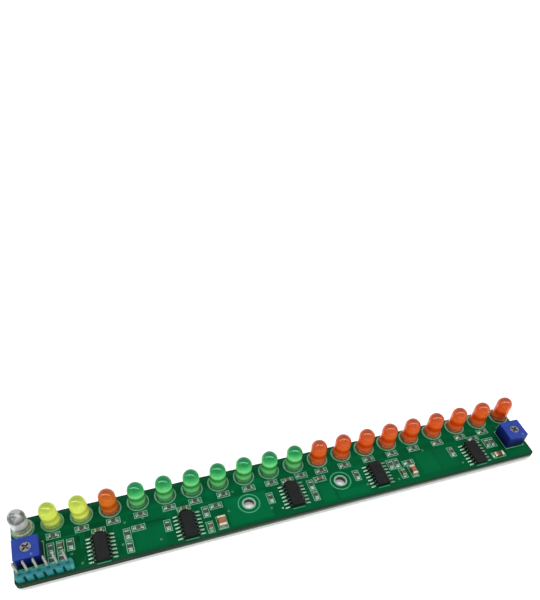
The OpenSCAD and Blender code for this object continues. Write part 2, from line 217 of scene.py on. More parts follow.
# ---------------------------------------------------------------- materials
# Copper areas (positive) and gaps between them (negative) that show through the mask, and painted shade round the chips
# (negative):
# x from, x to, y from, y to, strength, softness of the border, all in board mm
POURS_AND_CHIP_SHADE = [
    (32.8, 42.1, 1.1, 8.5, 0.16, 0.7), (38.4, 43.4, 10.6, 16.4, 0.12, 0.8), (60.2, 74.3, 1.0, 11.6, 0.32, 0.9),
    (55.7, 59.2, 12.0, 17.2, 0.14, 0.8), (70.2, 74.6, 11.6, 16.6, 0.18, 0.8), (89.6, 94.8, 1.2, 8.7, 0.2, 0.8),
    (94.8, 105.9, 1.1, 4.7, 0.2, 0.8), (124.6, 131.6, 2.2, 11.3, 0.18, 0.8), (131.6, 138.6, 2.2, 11.3, 0.12, 0.8),
    (155.9, 163.4, 1.0, 3.8, 0.12, 0.7), (107.0, 109.6, 12.0, 16.6, 0.12, 0.7),
    (36.9, 42.5, 9.45, 10.15, -0.34, 0.3), (27.9, 29.4, 1.6, 11.6, -0.16, 0.6), (16.8, 19.2, 8.8, 11.8, -0.18, 0.8),
    (155.1, 156.2, 4.0, 10.0, -0.24, 0.4), (114.7, 116.4, 11.9, 14.4, -0.16, 0.6), (123.0, 124.2, 11.8, 14.2, -0.22, 0.5),
    (5.6, 27.6, 0.8, 20.4, -0.16, 1.2), (1.0, 163.6, 13.9, 18.0, 0.16, 0.6), (52.9, 57.4, 11.3, 11.75, -0.18, 0.25), (143.0, 150.0, 12.0, 12.6, -0.16, 0.3),
# the last entries, one per chip, are painted shade round the chips, not copper
] + [(x - 4.2, x + 4.2, y - 4.3, y + 4.3, -0.34, 0.35) for x, y in CHIPS]


def mask_green(name, shift=0.0, pours=True):
    """Green mask over laminate. The tone runs from bare laminate (0) over thin copper to a full copper area (1);
    painted shade round the chips lowers it. The cut edge carries painted shade and painted bounce light.
    """
    s = Shader(name, Specular_IOR_Level=0.035)
    cloud = s.noise(70, 4)
    fine = s.noise(2600, 3)
    weave = s.math("MULTIPLY",
                   s.math("SINE", s.math("MULTIPLY", s.axis(0), 2 * math.pi / 0.00055)),
                   s.math("SINE", s.math("MULTIPLY", s.axis(1), 2 * math.pi / 0.00048)))
    tone = s.math("ADD", s.math("MULTIPLY", s.math("SUBTRACT", cloud, 0.5), 0.42), s.math("MULTIPLY", s.math("SUBTRACT", fine, 0.5), 0.2))
    tone = s.math("ADD", tone, s.math("MULTIPLY", weave, 0.03))
    tone = s.math("ADD", tone, 0.5 + shift)
    copper_and_chip_shade = None
    if pours:
        x, y = s.axis(0), s.axis(1)
        # the chip entries paint shade into the tone and lower the bump as well
        for x0, x1, y0, y1, amount, soft in POURS_AND_CHIP_SHADE:
            sides = []
            for v, a, b, size in ((x, x0, x1, LENGTH), (y, y0, y1, WIDTH)):
                mid, half = ((a + b) / 2 - size / 2) * MM, (b - a) / 2 * MM
                sides.append(s.span(s.math("ABSOLUTE", s.math("SUBTRACT", v, mid)), half, half - soft * MM))
            part = s.math("MULTIPLY", s.math("MULTIPLY", sides[0], sides[1]), amount)
            copper_and_chip_shade = part if copper_and_chip_shade is None else s.math("ADD", copper_and_chip_shade, part)
        tone = s.math("ADD", tone, copper_and_chip_shade)
    col = s.ramp(tone, [(0.0, lin(0, 46, 26)), (0.25, lin(0, 60, 33)), (0.5, lin(0, 75, 41)), (0.75, lin(0, 88, 49)),
                        (1.0, lin(0, 101, 63))])
    # the cut edge shows glass cloth and resin in thin flat layers; its dark tones are painted shade
    layers = s.noise(900, 3, 0.6, (0.15, 0.15, 9.0))
    grain = s.noise(5200, 2, 0.6)
    edge = s.ramp(s.math("ADD", s.math("MULTIPLY", layers, 0.65), s.math("MULTIPLY", grain, 0.35)),
                  [(0.32, lin(28, 38, 30)), (0.5, lin(44, 54, 44)), (0.68, lin(64, 74, 60))])
    # painted bounce light: the lower part of the cut edge turns pale towards the right end
    wear_and_bounce_light = s.math("MULTIPLY", s.span(s.axis(2), (TOP - 0.4) * MM, (BOTTOM + 0.3) * MM), s.span(s.axis(0), -50 * MM, 75 * MM))
    edge = s.mix(s.math("MULTIPLY", wear_and_bounce_light, 0.75), edge, lin(166, 170, 156))
    flat = s.span(s.math("ABSOLUTE", s.up()), 0.4, 0.6)
    s.to(s.mix(flat, edge, col), "Base Color")
    s.to(s.span(s.math("MULTIPLY", flat, s.span(fine, 0.3, 0.7, 0.9, 1.1)), 0.0, 1.0, 0.8, 0.27), "Roughness")
    h = s.math("ADD", s.math("MULTIPLY", s.noise(3000, 2), 0.6), s.math("MULTIPLY", weave, 0.12))
    if copper_and_chip_shade is not None:
        h = s.math("ADD", h, s.math("MULTIPLY", copper_and_chip_shade, 1.2))
    s.bump(h, 0.00003, 0.5)
    return s.m


def printed_ink(name, thin, mid, full):
    s = Shader(name, Specular_IOR_Level=0.2)
    wear_and_bounce_light = s.noise(5200, 4, 0.65)
    cloud = s.noise(500, 2)
    s.to(s.ramp(s.math("ADD", s.math("MULTIPLY", wear_and_bounce_light, 0.7), s.math("MULTIPLY", cloud, 0.3)),
                [(0.28, thin), (0.46, mid), (0.7, full)]), "Base Color")
    s.to(s.span(wear_and_bounce_light, 0.3, 0.7, 0.5, 0.75), "Roughness")
    s.bump(wear_and_bounce_light, 0.00002, 0.6)
    return s.m


def metal(name, dark, light, rough=0.3, scale=1400, bump=0.00002, metallic=1.0):
    s = Shader(name, Metallic=metallic)
    n = s.noise(scale, 4, 0.6)
    fine = s.noise(scale * 5, 2)
    s.to(s.ramp(n, [(0.3, dark), (0.7, light)]), "Base Color")
    s.to(s.span(fine, 0.25, 0.75, rough - 0.08, rough + 0.12), "Roughness")
    s.bump(s.math("ADD", s.math("MULTIPLY", n, 0.7), s.math("MULTIPLY", fine, 0.3)), bump, 0.7)
    return s.m


def plastic(name, dark, light, rough=0.4, scale=500, grain=9000, bump=0.000012, spec=0.5, sss=0.0):
    s = Shader(name, Specular_IOR_Level=spec)
    if sss:
        s.b.inputs["Subsurface Weight"].default_value = sss
        s.b.inputs["Subsurface Radius"].default_value = (1.0, 1.0, 1.0)
        s.b.inputs["Subsurface Scale"].default_value = 0.0006
    n = s.noise(scale, 4)
    g = s.noise(grain, 2, 0.6)
    s.to(s.ramp(s.math("ADD", s.math("MULTIPLY", n, 0.7), s.math("MULTIPLY", g, 0.3)), [(0.3, dark), (0.7, light)]), "Base Color")
    s.to(s.span(g, 0.25, 0.75, rough - 0.06, rough + 0.1), "Roughness")
    s.bump(g, bump, 0.8)
    return s.m


def diffused_epoxy(name, tint, stops):
    """Tinted epoxy with a diffusing filler. Stops are (height above the board in mm, colour) and paint the lens's light
    and shade over its tint: a painted glow where light gathers under the crown and low on the barrel, a painted dark
    belt low on the barrel, painted shade at the rim and a darker painted crown."""
    s = Shader(name, IOR=1.45, Subsurface_Weight=0.3, Subsurface_Scale=0.0005)
    s.b.inputs["Specular IOR Level"].default_value = 0.75
    s.b.inputs["Specular Tint"].default_value = tint + (1.0,)
    s.b.inputs["Subsurface Radius"].default_value = (1.0, 0.8, 0.6)
    z = s.span(s.axis(2), TOP * MM, (TOP + LENS_H) * MM)
    cloud = s.noise(420, 3)
    z = s.math("ADD", z, s.math("MULTIPLY", s.math("SUBTRACT", cloud, 0.5), 0.045))
    # the height stops are painted light and shade over the epoxy's tint
    s.to(s.ramp(z, [(h / LENS_H, c) for h, c in stops]), "Base Color")
    s.to(s.span(s.noise(2500, 2), 0.3, 0.7, 0.1, 0.14), "Roughness")
    return s.m


def clear_epoxy():
    """Clear epoxy: a grey crown with clouds, a painted white glow of refracted light in the belt under it and a streaky
    foot round the leads.
    """
    s = Shader("clear_epoxy", IOR=1.5, Transmission_Weight=0.42)
    z = s.span(s.axis(2), TOP * MM, (TOP + LENS_H) * MM)
    cloud = s.noise(560, 3, 0.6)
    z = s.math("ADD", z, s.math("MULTIPLY", s.math("SUBTRACT", cloud, 0.5), 0.05))
    # the white stops from 3.5 to 5.6 mm are painted light
    col = s.ramp(z, [(h / LENS_H, c) for h, c in [
        (0.0, lin(176, 188, 160)), (0.8, lin(220, 228, 202)), (1.2, lin(158, 166, 142)), (1.9, lin(230, 234, 214)), (2.7, lin(172, 178, 160)),
        (3.2, lin(200, 200, 188)), (3.5, lin(255, 255, 255)), (5.6, lin(255, 255, 255)), (5.95, lin(196, 196, 192)),
        (6.5, lin(134, 133, 132)), (7.3, lin(160, 160, 157)), (8.0, lin(206, 206, 203)), (8.6, lin(196, 197, 194))]])
    spots = s.math("MULTIPLY", s.span(s.noise(420, 2, 0.5), 0.5, 0.6), s.span(s.axis(2), (TOP + 6.2) * MM, (TOP + 6.8) * MM))
    s.to(s.mix(s.math("MULTIPLY", spots, 0.85), col, lin(62, 84, 72)), "Base Color")
    s.to(s.span(s.noise(3000, 2), 0.3, 0.7, 0.03, 0.07), "Roughness")
    return s.m


def moulded_blue():
    """Blue plastic; painted shade darkens the walls, most towards the board."""
    s = Shader("blue_plastic", Specular_IOR_Level=0.25)
    n = s.noise(260, 4)
    g = s.noise(5000, 2, 0.6)
    tone = s.math("ADD", s.math("MULTIPLY", n, 0.7), s.math("MULTIPLY", g, 0.3))
    top = s.ramp(tone, [(0.3, lin(18, 42, 124)), (0.7, lin(29, 58, 146))])
    z = s.math("ADD", s.span(s.axis(2), TOP * MM, (TOP + 4.9) * MM), s.math("MULTIPLY", s.math("SUBTRACT", tone, 0.5), 0.2))
    # painted shade: walls darker than the top and darkest near the board
    painted_wall_shade = s.ramp(z, [(0.0, lin(2, 18, 42)), (0.35, lin(6, 14, 70)), (0.9, lin(14, 30, 106)), (1.0, lin(24, 52, 136))])
    s.to(s.mix(s.span(s.math("ABSOLUTE", s.up()), 0.3, 0.8), painted_wall_shade, top), "Base Color")
    s.to(s.span(g, 0.25, 0.75, 0.34, 0.5), "Roughness")
    s.bump(g, 0.000012, 0.8)
    return s.m


def moulded_teal():
    """Teal plastic with painted shade in the notches between the segments and a painted lighter wall at the right end.
    """
    s = Shader("teal_plastic", Specular_IOR_Level=0.3)
    n = s.noise(300, 4)
    g = s.noise(5200, 2, 0.6)
    tone = s.math("ADD", s.math("MULTIPLY", n, 0.7), s.math("MULTIPLY", g, 0.3))
    body = s.ramp(tone, [(0.3, lin(20, 104, 108)), (0.7, lin(38, 128, 130))])
    recess_shade = s.ramp(tone, [(0.3, lin(0, 40, 40)), (0.7, lin(4, 56, 56))])
    # painted shade in the notches: one notch every 2.54 mm along x, counted from the first pin
    phase = s.math("FRACT", s.math("DIVIDE", s.math("ADD", s.axis(0), (LENGTH / 2 - 1.85 - 1.27 + 25.4) * MM), 2.54 * MM))
    near = s.math("MINIMUM", phase, s.math("SUBTRACT", 1.0, phase))
    flat = s.span(s.math("ABSOLUTE", s.up()), 0.3, 0.8)
    mid = (1.85 + 2.5 * 2.54 - LENGTH / 2) * MM
    beyond = s.span(s.math("ABSOLUTE", s.math("SUBTRACT", s.axis(0), mid)), 7.0 * MM, 7.1 * MM, 1.0, 0.0)
    # painted light: the walls at the right end are painted lighter
    right = s.math("MULTIPLY", s.span(s.math("SUBTRACT", s.axis(0), mid), 7.0 * MM, 7.1 * MM), s.math("SUBTRACT", 1.0, flat))
    notch_shade = s.math("MULTIPLY", s.span(near, 0.06, 0.17, 1.0, 0.0), s.math("MULTIPLY", beyond, s.math("SUBTRACT", 1.0, flat)))
    body = s.mix(right, body, lin(84, 168, 152))
    s.to(s.mix(notch_shade, body, recess_shade), "Base Color")
    s.to(s.span(g, 0.25, 0.75, 0.36, 0.52), "Roughness")
    s.bump(g, 0.000012, 0.8)
    return s.m


def slotted_metal():
    """Plated rotor: a pale face with patches of painted reflection of the blue housing, and painted shade in the depth
    of its cross slot.
    """
    s = Shader("rotor_metal", Metallic=0.85)
    n = s.noise(2600, 4, 0.6)
    fine = s.noise(9000, 2)
    # painted reflection: patches of the face carry the blue of the housing
    face = s.mix(s.span(s.noise(700, 2), 0.42, 0.58), s.ramp(n, [(0.3, lin(104, 104, 128)), (0.7, lin(158, 156, 180))]),
                 s.ramp(n, [(0.3, lin(108, 116, 108)), (0.7, lin(156, 164, 150))]))
    # painted shade in the depth of the slot
    recess_shade = s.ramp(n, [(0.3, lin(74, 72, 52)), (0.7, lin(108, 104, 78))])
    s.to(s.mix(s.span(s.axis(2), (TOP + 4.3) * MM, (TOP + 4.66) * MM), recess_shade, face), "Base Color")
    s.to(s.span(fine, 0.25, 0.75, 0.3, 0.5), "Roughness")
    s.bump(s.math("ADD", s.math("MULTIPLY", n, 0.7), s.math("MULTIPLY", fine, 0.3)), 0.00003, 0.7)
    return s.m


def chip_metal(name, lead):
    """Tin at the chips: bright at the outer end of a foot, with painted shade close to the chip and on the climbing
    part of a lead.
    """
    s = Shader(name, Metallic=1.0)
    n = s.noise(2000, 4, 0.6)
    fine = s.noise(9000, 2)
    foot = s.ramp(n, [(0.3, lin(114, 152, 130)), (0.7, lin(152, 186, 162))])
    shaded_tin = s.ramp(n, [(0.3, lin(62, 72, 62)), (0.7, lin(96, 106, 94))])
    away = None
    for cx, cy in CHIPS:
        d = s.math("ABSOLUTE", s.math("SUBTRACT", s.axis(0), (cx - LENGTH / 2) * MM))
        away = d if away is None else s.math("MINIMUM", away, d)
    # painted shade: tin within 2.85 mm of a chip's middle across it turns dull, and a lead too above 0.3 mm over the
    # board
    bright = s.span(away, 2.5 * MM, 2.85 * MM)
    if lead:
        bright = s.math("MULTIPLY", bright, s.span(s.axis(2), (TOP + 0.3) * MM, (TOP + 0.6) * MM, 1.0, 0.0))
    s.to(s.mix(bright, shaded_tin, foot), "Base Color")
    s.to(s.span(fine, 0.25, 0.75, 0.36, 0.54), "Roughness")
    s.bump(s.math("ADD", s.math("MULTIPLY", n, 0.7), s.math("MULTIPLY", fine, 0.3)), 0.00002, 0.7)
    return s.m


def hole_plating():
    """Tinned land, and a barrel with painted shade that darkens with depth."""
    s = Shader("hole_plating", Metallic=0.85)
    n = s.noise(1400, 4, 0.6)
    fine = s.noise(7000, 2)
    z = s.span(s.axis(2), (BOTTOM - 0.05) * MM, (TOP + 0.05) * MM)
    # painted shade in the hole: the barrel darkens the deeper it goes
    col = s.ramp(z, [(0.0, lin(26, 24, 22)), (0.35, lin(44, 46, 42)), (0.75, lin(86, 102, 92)), (0.97, lin(118, 144, 128)), (1.0, lin(150, 184, 162))])
    s.to(s.mix(s.span(n, 0.3, 0.7, 0.0, 0.2), col, s.mix(0.5, col, lin(0, 0, 0))), "Base Color")
    s.to(s.span(fine, 0.25, 0.75, 0.36, 0.52), "Roughness")
    s.bump(s.math("ADD", s.math("MULTIPLY", n, 0.7), s.math("MULTIPLY", fine, 0.3)), 0.00002, 0.7)
    return s.m


def header_pin():
    """Plated pins, cool at the tip, with a painted reflection of the teal strip near their foot."""
    s = Shader("plated_pin", Metallic=0.8)
    n = s.noise(2200, 4, 0.6)
    fine = s.noise(9000, 2)
    z = s.span(s.axis(2), (TOP + 2.5) * MM, (TOP + 8.9) * MM)
    # painted reflection of the strip on the lower part of each pin
    col = s.ramp(z, [(0.0, lin(56, 146, 142)), (0.14, lin(72, 146, 138)), (0.26, lin(108, 146, 130)), (0.4, lin(144, 154, 136)), (0.7, lin(148, 148, 144)),
                     (1.0, lin(148, 146, 154))])
    s.to(s.mix(s.span(n, 0.3, 0.7), s.mix(0.18, col, lin(0, 0, 0)), s.mix(0.08, col, lin(255, 255, 255))), "Base Color")
    s.to(s.span(fine, 0.25, 0.75, 0.18, 0.34), "Roughness")
    s.bump(s.math("ADD", s.math("MULTIPLY", n, 0.7), s.math("MULTIPLY", fine, 0.3)), 0.00002, 0.7)
    return s.m


def layered_capacitor():
    """Brown ceramic that turns olive towards the borders of each bulk capacitor, with painted shade darkening its
    walls.
    """
    s = Shader("brown_ceramic", Specular_IOR_Level=0.3)
    n = s.noise(1200, 4)
    g = s.noise(6000, 2, 0.6)
    tone = s.math("ADD", s.math("MULTIPLY", n, 0.7), s.math("MULTIPLY", g, 0.3))
    out = None
    for cx, cy, turn, l, w, h in BULK:
        dx = s.math("ABSOLUTE", s.math("SUBTRACT", s.axis(0), (cx - LENGTH / 2) * MM))
        dy = s.math("ABSOLUTE", s.math("SUBTRACT", s.axis(1), (cy - WIDTH / 2) * MM))
        across, along = (dx, dy) if turn == 90 else (dy, dx)
        d = s.math("MAXIMUM", s.math("DIVIDE", across, w / 2 * MM), s.math("DIVIDE", along, l * MM))
        out = d if out is None else s.math("MINIMUM", out, d)
    brown = s.ramp(tone, [(0.3, lin(122, 72, 48)), (0.7, lin(158, 98, 70))])
    olive = s.ramp(tone, [(0.3, lin(78, 72, 44)), (0.7, lin(108, 98, 64))])
    # painted shade on the walls
    painted_wall_shade = s.ramp(tone, [(0.3, lin(60, 46, 26)), (0.7, lin(88, 68, 42))])
    top = s.mix(s.span(s.math("ADD", out, s.math("MULTIPLY", s.math("SUBTRACT", n, 0.5), 0.3)), 0.6, 0.95), brown, olive)
    dark = s.ramp(tone, [(0.3, lin(58, 44, 34)), (0.7, lin(86, 62, 46))])
    last = s.math("ADD", s.axis(0), s.math("MULTIPLY", s.math("SUBTRACT", n, 0.5), 0.4 * MM))
    top = s.mix(s.span(last, (BULK[2][0] - LENGTH / 2 - 0.7) * MM, (BULK[2][0] - LENGTH / 2 - 0.1) * MM), top, dark)
    s.to(s.mix(s.span(s.math("ABSOLUTE", s.up()), 0.3, 0.8), painted_wall_shade, top), "Base Color")
    s.to(s.span(g, 0.25, 0.75, 0.42, 0.58), "Roughness")
    s.bump(g, 0.00002, 0.8)
    return s.m


def layered_resistor():
    """A dark glaze over white ceramic, which shows on the sides."""
    s = Shader("resistor_block", Specular_IOR_Level=0.25)
    n = s.noise(2400, 3)
    glaze = s.ramp(n, [(0.3, lin(40, 48, 43)), (0.7, lin(64, 75, 67))])
    ceramic = s.ramp(n, [(0.3, lin(176, 176, 168)), (0.7, lin(206, 206, 198))])
    s.to(s.mix(s.span(s.axis(2), (TOP + 0.40) * MM, (TOP + 0.46) * MM), ceramic, glaze), "Base Color")
    s.to(s.span(n, 0.3, 0.7, 0.28, 0.45), "Roughness")
    s.bump(n, 0.00002, 0.6)
    return s.m


MASK = mask_green("solder_mask")
TRACK = mask_green("solder_mask_over_track", 0.2, False)
GAP = plastic("mask_over_bare_laminate", lin(12, 42, 30), lin(30, 62, 46), 0.5, 1800, 9000, 0.00001, 0.06)
VIA = plastic("filled_via", lin(30, 92, 64), lin(84, 136, 110), 0.4, 3000, 9000, 0.00001, 0.2)
INK = printed_ink("printed_outline", lin(58, 118, 88), lin(100, 156, 126), lin(134, 178, 150))
INK_THIN = printed_ink("printed_outline_thin", lin(26, 104, 72), lin(48, 132, 98), lin(78, 150, 118))
TIN = metal("tin", lin(122, 148, 132), lin(166, 190, 174), 0.5)
SOLDER = metal("bright_solder", lin(118, 146, 128), lin(164, 190, 172), 0.5, 900, 0.00006)
WIRE = metal("tinned_wire", lin(116, 126, 114), lin(154, 162, 150), 0.36, 2000)
PIN = header_pin()
CHIP = plastic("moulding_compound", lin(13, 14, 14), lin(24, 26, 26), 0.55, 700, 7000, 0.00003, 0.14)
BLUE = moulded_blue()
# the raised dots are real, and their pale colour is a painted highlight
GLINT_DOT = plastic("painted_glint_dot", lin(52, 82, 158), lin(76, 108, 178), 0.5, 1500, 6000, 0.00001, 0.3)
POTTING = plastic("pale_potting", lin(196, 188, 164), lin(222, 214, 192), 0.6, 600, 4000, 0.00003)
TEAL = moulded_teal()
ROTOR = slotted_metal()
LEAD = chip_metal("chip_lead", True)
CHIP_TIN = chip_metal("chip_pad_tin", False)
BLOCK = layered_resistor()
TAN = plastic("tan_ceramic", lin(54, 66, 50), lin(80, 88, 68), 0.5, 1500, 6000, 0.00002, 0.3)
BROWN = layered_capacitor()
CREAM = metal("pale_end_metal", lin(182, 174, 148), lin(216, 208, 182), 0.5, 1600, 0.00003, 0.6)
CAP_END = metal("capacitor_end_metal", lin(132, 148, 122), lin(168, 182, 154), 0.46, 1600, 0.00003, 0.8)
# Each lens's height stops are painted light and shade: painted glow, a painted dark belt, painted shade at the rim and
# a darker painted crown.
LENS = {
    "clear": clear_epoxy(),
    "yellow": diffused_epoxy("yellow_epoxy", (0.95, 1.0, 0.5), [
        (0.0, lin(164, 206, 124)), (0.6, lin(116, 154, 70)), (1.05, lin(108, 138, 56)), (1.35, lin(170, 196, 68)), (2.0, lin(234, 250, 112)),
        (2.8, lin(248, 255, 132)), (3.4, lin(222, 238, 92)), (3.9, lin(200, 216, 60)), (4.5, lin(214, 228, 74)), (4.9, lin(240, 252, 102)),
        (5.2, lin(250, 255, 116)), (6.0, lin(242, 250, 112)), (6.7, lin(216, 232, 94)), (7.4, lin(184, 204, 74)),
        (8.0, lin(160, 178, 62)), (8.6, lin(148, 164, 58))]),
    "amber": diffused_epoxy("amber_epoxy", (1.0, 0.45, 0.28), [
        (0.0, lin(156, 116, 74)), (0.6, lin(108, 68, 34)), (1.05, lin(110, 58, 26)), (1.35, lin(180, 98, 46)), (2.2, lin(226, 118, 46)),
        (2.9, lin(208, 96, 18)), (3.75, lin(184, 74, 0)), (4.4, lin(200, 90, 4)), (5.2, lin(230, 122, 34)),
        (6.0, lin(232, 120, 34)), (6.8, lin(208, 102, 26)), (7.4, lin(182, 88, 20)), (8.0, lin(168, 80, 20)), (8.4, lin(160, 76, 22)), (8.6, lin(142, 70, 28))]),
    "green": diffused_epoxy("green_epoxy", (0.4, 1.0, 0.66), [
        (0.0, lin(100, 158, 112)), (0.6, lin(42, 104, 54)), (1.05, lin(40, 92, 42)), (1.35, lin(66, 140, 78)), (1.9, lin(106, 190, 118)),
        (2.6, lin(116, 200, 124)), (3.3, lin(92, 184, 106)), (3.8, lin(60, 152, 70)), (4.25, lin(36, 132, 46)),
        (4.7, lin(56, 154, 72)), (5.3, lin(126, 222, 140)), (6.0, lin(132, 226, 148)), (6.6, lin(84, 194, 108)),
        (7.2, lin(44, 154, 76)), (7.8, lin(22, 126, 60)), (8.6, lin(14, 106, 56))]),
    "red": diffused_epoxy("red_epoxy", (1.0, 0.5, 0.34), [
        (0.0, lin(150, 114, 74)), (0.6, lin(134, 80, 44)), (1.05, lin(136, 66, 36)), (1.35, lin(186, 94, 48)), (1.9, lin(216, 102, 50)),
        (2.6, lin(220, 90, 34)), (3.4, lin(198, 54, 0)), (3.9, lin(200, 58, 0)), (4.5, lin(214, 80, 20)),
        (5.2, lin(232, 102, 38)), (6.0, lin(232, 98, 38)), (6.8, lin(208, 80, 28)), (7.4, lin(184, 72, 24)), (8.0, lin(172, 68, 26)),
        (8.4, lin(162, 64, 30)), (8.6, lin(144, 60, 34))]),
}


# ---------------------------------------------------------------- mesh building
class Build:
    """Collects faces in board millimetres (x and y from the front left corner, z from the floor)."""

    def __init__(self):
        self.v, self.f = [], []

    def prism(self, loop, z0, z1):
        """A closed flat piece from a plan outline that runs anticlockwise."""
        n, k = len(loop), len(self.v)
        self.v += [(x, y, z0) for x, y in loop] + [(x, y, z1) for x, y in loop]
        self.f.append(tuple(k + n + i for i in range(n)))
        self.f.append(tuple(k + i for i in reversed(range(n))))
        for i in range(n):
            j = (i + 1) % n
            self.f.append((k + i, k + j, k + n + j, k + n + i))

    def band(self, outer, inner, z0, z1, closed=True):
        """A flat band between two outlines with as many points each."""
        n, k = len(outer), len(self.v)
        for ring, z in ((outer, z0), (inner, z0), (outer, z1), (inner, z1)):
            self.v += [(x, y, z) for x, y in ring]
        steps = range(n) if closed else range(n - 1)
        for i in steps:
            j = (i + 1) % n
            ob, ib, ot, it = k + i, k + n + i, k + 2 * n + i, k + 3 * n + i
            ob2, ib2, ot2, it2 = k + j, k + n + j, k + 2 * n + j, k + 3 * n + j
            self.f += [(ot, ot2, it2, it), (ob, ib, ib2, ob2), (ob, ob2, ot2, ot), (it, it2, ib2, ib)]
        if not closed:
            self.f.append((k, k + 2 * n, k + 3 * n, k + n))
            e = n - 1
            self.f.append((k + e, k + n + e, k + 3 * n + e, k + 2 * n + e))

    def ring(self, x, y, r1, r0, z0, z1, n=64, far=None):
        def loop(r):
            pts = [(x + r * math.cos(2 * math.pi * i / n), y + r * math.sin(2 * math.pi * i / n)) for i in range(n)]
            return [(min(px, far), py) if far else (px, py) for px, py in pts]
        self.band(loop(r1), loop(r0), z0, z1)

    def line(self, pts, width, z0, z1, closed=False):
        """A ribbon along a path, with mitred corners."""
        n = len(pts)
        left, right = [], []
        for i in range(n):
            p = Vector(pts[i])
            a = Vector(pts[i - 1]) if i or closed else None
            b = Vector(pts[(i + 1) % n]) if i < n - 1 or closed else None
            d1 = (p - a).normalized() if a is not None else (b - p).normalized()
            d2 = (b - p).normalized() if b is not None else d1
            m = Vector((-d1.y - d2.y, d1.x + d2.x))
            m.normalize()
            m *= width / 2 / max(0.35, m.dot(Vector((-d1.y, d1.x))))
            left.append(tuple(p + m))
            right.append(tuple(p - m))
        self.band(right, left, z0, z1, closed)

    def frame(self, x, y, w, h, turn, width, z0, z1):
        if turn == 90:
            w, h = h, w
        a, b = w / 2 - width / 2, h / 2 - width / 2
        self.line([(x - a, y - b), (x + a, y - b), (x + a, y + b), (x - a, y + b)], width, z0, z1, True)

    def disc(self, x, y, r, z0, z1, n=32):
        self.prism([(x + r * math.cos(2 * math.pi * i / n), y + r * math.sin(2 * math.pi * i / n)) for i in range(n)], z0, z1)

    def dome(self, x, y, r, z0, h, n=32, rings=4):
        """A low round bead."""
        k = len(self.v)
        for j in range(rings):
            a = math.pi / 2 * j / rings
            self.v += [(x + r * math.cos(a) * math.cos(2 * math.pi * i / n), y + r * math.cos(a) * math.sin(2 * math.pi * i / n), z0 + h * math.sin(a)) for i in range(n)]
        self.v.append((x, y, z0 + h))
        top = len(self.v) - 1
        self.f.append(tuple(k + i for i in reversed(range(n))))
        for j in range(rings - 1):
            for i in range(n):
                i2 = (i + 1) % n
                self.f.append((k + j * n + i, k + j * n + i2, k + (j + 1) * n + i2, k + (j + 1) * n + i))
        for i in range(n):
            self.f.append((k + (rings - 1) * n + i, k + (rings - 1) * n + (i + 1) % n, top))

    def piece(self, name, material, smooth=None, body=ROOT):
        me = bpy.data.meshes.new(name)
        me.from_pydata([((x - LENGTH / 2) * MM, (y - WIDTH / 2) * MM, z * MM) for x, y, z in self.v], [], self.f)
        me.validate()
        me.update()
        o = bpy.data.objects.new(name, me)
        bpy.context.scene.collection.objects.link(o)
        me.materials.append(material)
        if smooth:
            me.shade_smooth()
            me.set_sharp_from_angle(angle=math.radians(smooth))
        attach(o, body)
        return o


def soften(node, material, width, segments=2, angle=32):
    """Stands for a CAD node with the same solid whose sharp edges are rounded by width mm."""
    src = frame["nodes"][node]
    body = src["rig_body"]
    bm = bmesh.new()
    bm.from_mesh(src.data)
    bmesh.ops.remove_doubles(bm, verts=bm.verts, dist=1.5e-6)
    bmesh.ops.dissolve_limit(bm, angle_limit=math.radians(1.0), verts=bm.verts, edges=bm.edges)
    sharp = [e for e in bm.edges if len(e.link_faces) == 2 and e.calc_face_angle(0.0) > math.radians(angle)]
    bmesh.ops.bevel(bm, geom=sharp, offset=width * MM, segments=segments, profile=0.5, affect="EDGES", clamp_overlap=True)
    bmesh.ops.recalc_face_normals(bm, faces=bm.faces)
    me = bpy.data.meshes.new(node + ".shape")
    bm.to_mesh(me)
    bm.free()
    me.materials.clear()
    me.materials.append(material)
    for p in me.polygons:
        p.material_index = 0
    o = bpy.data.objects.new(node + ".look", me)
    bpy.context.scene.collection.objects.link(o)
    me.shade_smooth()
    me.set_sharp_from_angle(angle=math.radians(50))
    w = o.modifiers.new("even", "WEIGHTED_NORMAL")
    w.keep_sharp = True
    w.weight = 80
    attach(o, body)
    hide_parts(node)
    return o


def keep(node, material):
    """A CAD node that stays, with a better material."""
    me = frame["nodes"][node].data
    for i in range(len(me.materials)):
        me.materials[i] = material
    if not me.materials:
        me.materials.append(material)


# ---------------------------------------------------------------- lamps
def lens_profile():
    """(radius, height) in mm from the foot's middle up to the crown's middle."""
    foot = 0.02  # a hair's gap to the board, so that light passes under the epoxy
    pts = [(0.0, foot), (RIM_R - 0.1, foot)]
    for a in range(0, 91, 30):  # foot edge
        pts.append((RIM_R - 0.1 + 0.1 * math.sin(math.radians(a)), foot + 0.1 - 0.1 * math.cos(math.radians(a))))
    for a in range(0, 91, 18):  # rim's upper edge
        pts.append((RIM_R - 0.18 + 0.18 * math.cos(math.radians(a)), 0.82 + 0.18 * math.sin(math.radians(a))))
    for a in range(0, 91, 18):  # hollow between rim and barrel
        pts.append((LENS_R + 0.12 - 0.12 * math.sin(math.radians(a)), 1.12 - 0.12 * math.cos(math.radians(a))))
    straight = LENS_H - LENS_R
    for k in range(1, 9):
        pts.append((LENS_R, 1.12 + (straight - 1.12) * k / 8))
    for a in range(5, 90, 5):
        pts.append((LENS_R * math.cos(math.radians(a)), straight + LENS_R * math.sin(math.radians(a))))
    pts.append((0.0, LENS_H))
    out = [pts[0]]
    for p in pts[1:]:
        if abs(p[0] - out[-1][0]) + abs(p[1] - out[-1][1]) > 0.004:
            out.append(p)
    return out


